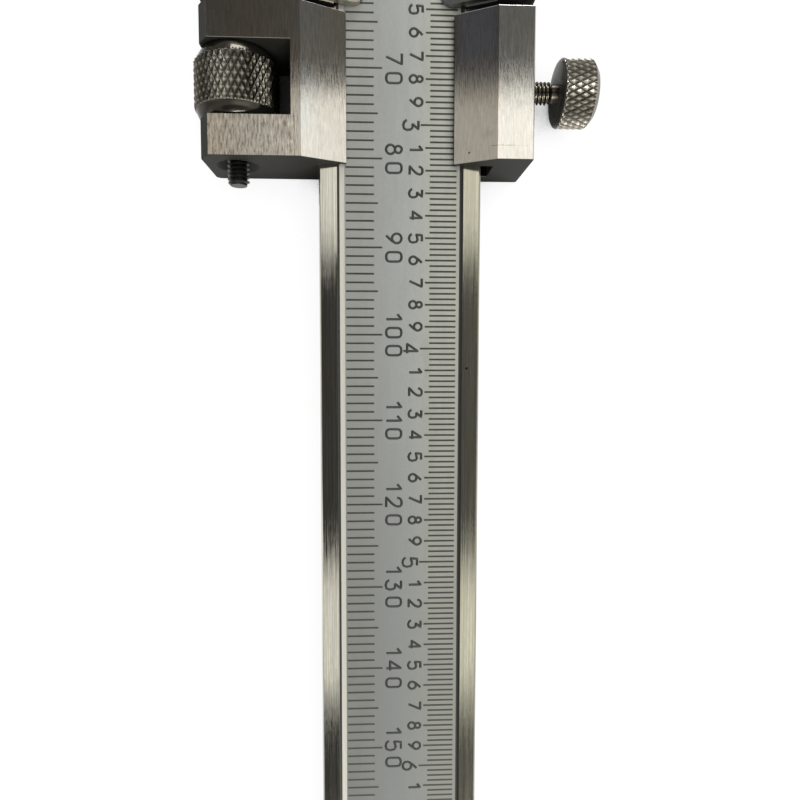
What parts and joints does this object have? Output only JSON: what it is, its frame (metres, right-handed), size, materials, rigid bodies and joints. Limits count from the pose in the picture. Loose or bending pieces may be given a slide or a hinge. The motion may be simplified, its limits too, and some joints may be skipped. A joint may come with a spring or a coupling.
{
  "type": "vernier caliper with fine adjustment",
  "caption": "Steel vernier caliper with nib jaws, knife-edge jaws, sloped vernier slider and a screw-driven fine-adjust carriage with clamp screws.",
  "frame": {"origin": "on the back face of the slider, under the beam's centre line, at the zero of the millimetre scale", "axes": "+X along the beam in the direction of rising readings, +Y to the inch edge, the clamp screws and the knife-edge jaws, +Z out of the scale face"},
  "size_m": [0.3195, 0.1015, 0.0095],
  "materials": {
    "beam_steel": "satin chromed scale face, brushed rails",
    "frame_steel": "ground, lines along the beam",
    "plate_steel": "satin",
    "knurled_steel": "diamond knurl, darkened",
    "black_steel": "black oxide",
    "small_screws": "polished",
    "brass": "plain"
  },
  "bodies": {
    "beam": {"main_beam": "beam_steel", "beam_end_stop": "beam_steel", "end_stop_screws": "small_screws"},
    "slider": {"slider_frame": "frame_steel", "metric_vernier_plate": "plate_steel", "metric_vernier_screws": "small_screws", "inch_vernier_plate": "plate_steel", "inch_vernier_screws": "small_screws", "slider_gib_strip": "brass", "slider_gib_screws": "small_screws", "fine_adjust_screw": "black_steel", "screw_cross_pin": "small_screws"},
    "slider_pad": {"slider_clamp_pad": "brass"},
    "slider_clamp": {"slider_clamp_screw": "knurled_steel"},
    "carriage": {"carriage_body": "frame_steel", "carriage_leaf_spring": "brass"},
    "carriage_pad": {"carriage_clamp_pad": "brass"},
    "carriage_clamp": {"carriage_clamp_screw": "knurled_steel"},
    "nut": {"fine_adjust_nut": "knurled_steel"}
  },
  "joints": [
    {"name": "slider_travel", "type": "slide", "parent": "beam", "child": "slider", "axis": [1, 0, 0], "range_m": [0, 0.2]},
    {"name": "fine_adjust", "type": "slide", "parent": "slider", "child": "carriage", "axis": [1, 0, 0], "range_m": [-0.0006, 0.006]},
    {"name": "nut_spin", "type": "hinge", "parent": "carriage", "child": "nut", "pos_m": [0.0724, -0.0185, 0.0048], "axis": [1, 0, 0], "range_deg": [-433, 4321]},
    {"name": "slider_clamp_feed", "type": "slide", "parent": "slider", "child": "slider_pad", "axis": [0, 1, 0], "range_m": [-0.00014, 0.0009]},
    {"name": "slider_clamp_turn", "type": "hinge", "parent": "slider_pad", "child": "slider_clamp", "pos_m": [0.038, 0.0184, 0.0045], "axis": [0, 1, 0], "range_deg": [-113, 721]},
    {"name": "carriage_clamp_feed", "type": "slide", "parent": "carriage", "child": "carriage_pad", "axis": [0, 1, 0], "range_m": [-0.00014, 0.0009]},
    {"name": "carriage_clamp_turn", "type": "hinge", "parent": "carriage_pad", "child": "carriage_clamp", "pos_m": [0.0719, 0.0184, 0.0045], "axis": [0, 1, 0], "range_deg": [-113, 721]}
  ],
  "couplings": [
    {"joint": "nut_spin", "follows": "fine_adjust", "rad_per_m": 12566},
    {"joint": "slider_clamp_turn", "follows": "slider_clamp_feed", "rad_per_m": 13963},
    {"joint": "carriage_clamp_turn", "follows": "carriage_clamp_feed", "rad_per_m": 13963}
  ]
}
